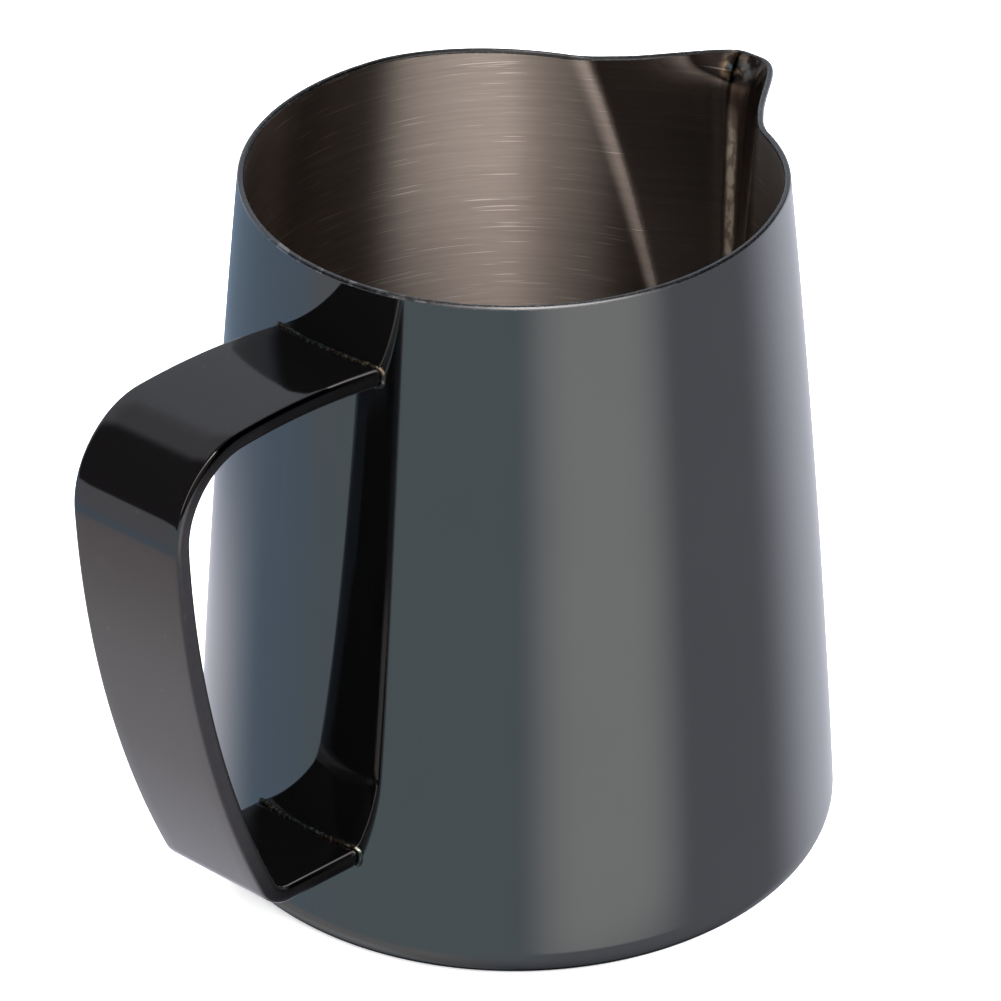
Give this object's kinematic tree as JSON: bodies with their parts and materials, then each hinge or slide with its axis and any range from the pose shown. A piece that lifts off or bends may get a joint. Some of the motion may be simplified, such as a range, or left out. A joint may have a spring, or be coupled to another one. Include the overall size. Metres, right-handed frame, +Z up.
{
  "type": "milk frothing pitcher",
  "caption": "Tapered steel jug with a long pressed V spout and a flat strap handle welded on opposite it, for steaming and pouring milk.",
  "frame": {"origin": "centre of the base, on the plane it rests on", "axes": "+Z up along the body's axis, +X out through the spout, handle towards -X"},
  "size_m": [0.137, 0.0968, 0.1081],
  "materials": {
    "coated_steel": "dark grey vapour-coated stainless steel, mirror polished outside and brushed round the inside",
    "dark_strap": "near-black vapour-coated stainless steel, polished, with softened edges",
    "weld_metal": "fine weld bead with a faint heat tint"
  },
  "bodies": {
    "root": {"body_shell": "coated_steel", "handle_strap": "dark_strap", "upper_weld": "weld_metal", "lower_weld": "weld_metal"}
  },
  "joints": []
}
